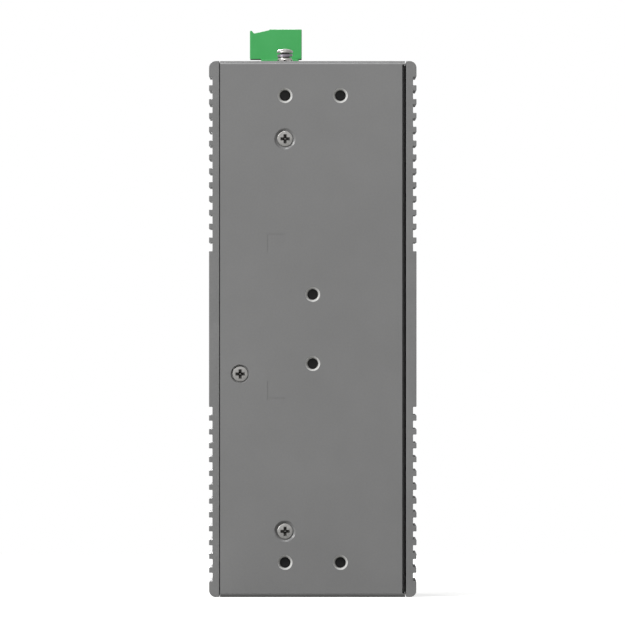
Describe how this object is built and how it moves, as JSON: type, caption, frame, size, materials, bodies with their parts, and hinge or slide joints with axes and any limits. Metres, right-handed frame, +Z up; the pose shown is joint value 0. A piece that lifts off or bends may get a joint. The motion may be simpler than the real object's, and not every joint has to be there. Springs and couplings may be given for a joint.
{
  "type": "din rail ethernet switch",
  "caption": "Slim upright network switch: folded grey case, finned side plates, tapped holes for a rail clip at the back, jacks and module slots at the front, pluggable terminal on top.",
  "frame": {"origin": "underneath the case, in the middle of its width and of its depth over the ports", "axes": "+Z up, -Y out of the port side, +Y out of the rail side, +X to the right for someone facing the ports"},
  "size_m": [0.06, 0.11, 0.1645],
  "materials": {
    "grey_paint": "fine matt powder coat",
    "dark_zinc": "dull zinc plate",
    "zinc": "bright zinc plate",
    "nickel": "satin nickel plate",
    "green_plastic": "moulded polyamide",
    "black_plastic": "moulded polyester",
    "clear_plastic": "polished clear moulding",
    "gold": "gold plate",
    "tin": "tin plate",
    "laminate": "solder resist on glass laminate",
    "chip_resin": "moulded epoxy",
    "bare_aluminium": "machined",
    "grey_pad": "soft filled silicone",
    "dark_foam": "conductive foam",
    "ferrite": "dull ceramic",
    "can_sleeve": "shrink sleeve",
    "yellow_tape": "winding tape",
    "relay_blue": "sealed plastic case",
    "fuse_ceramic": "glazed ceramic",
    "copper_wire": "enamelled copper",
    "warm_white": "diffusing resin"
  },
  "bodies": {
    "case": {"chassis": "grey_paint", "front_panel": "grey_paint", "finned_side_left": "grey_paint", "finned_side_right": "grey_paint", "board_bracket_upper": "zinc", "board_bracket_lower": "zinc", "side_bracket": "zinc", "board_bracket_screws": "dark_zinc", "side_bracket_screw": "dark_zinc", "right_side_screws": "dark_zinc", "main_board": "laminate", "port_block_housing": "black_plastic", "port_block_shield": "tin", "port_block_contacts": "gold", "port_block_light_pipes": "clear_plastic", "console_port_housing": "black_plastic", "console_port_shield": "tin", "console_port_contacts": "gold", "console_port_light_pipes": "clear_plastic", "module_cage": "nickel", "module_connectors": "black_plastic", "module_light_pipes": "clear_plastic", "module_gasket": "dark_foam", "status_lamps": "warm_white", "status_light_guide": "clear_plastic", "reset_switch": "black_plastic", "terminal_header": "green_plastic", "header_pins": "tin", "ground_screw": "nickel", "ground_spring_washer": "nickel", "ground_cup_washer": "nickel", "ground_nut": "zinc", "switch_chip": "chip_resin", "processor_chip": "chip_resin", "memory_chips": "chip_resin", "port_drivers": "chip_resin", "clock_crystals": "nickel", "thermal_pads": "grey_pad", "heat_blocks": "bare_aluminium", "power_capacitors": "can_sleeve", "power_inductors": "ferrite", "power_transformer": "yellow_tape", "alarm_relay": "relay_blue", "input_fuses": "fuse_ceramic", "input_choke": "copper_wire"},
    "plug": {"terminal_plug": "green_plastic", "plug_clamps": "nickel", "plug_screws": "zinc", "plug_contacts": "tin"},
    "button": {"reset_button": "black_plastic"}
  },
  "joints": [
    {"name": "plug_pull", "type": "slide", "parent": "case", "child": "plug", "axis": [0, 0, 1], "range_m": [0, 0.012]},
    {"name": "reset_press", "type": "slide", "parent": "case", "child": "button", "axis": [0, 1, 0], "range_m": [0, 0.0003], "stiffness_N_per_m": 5000}
  ]
}
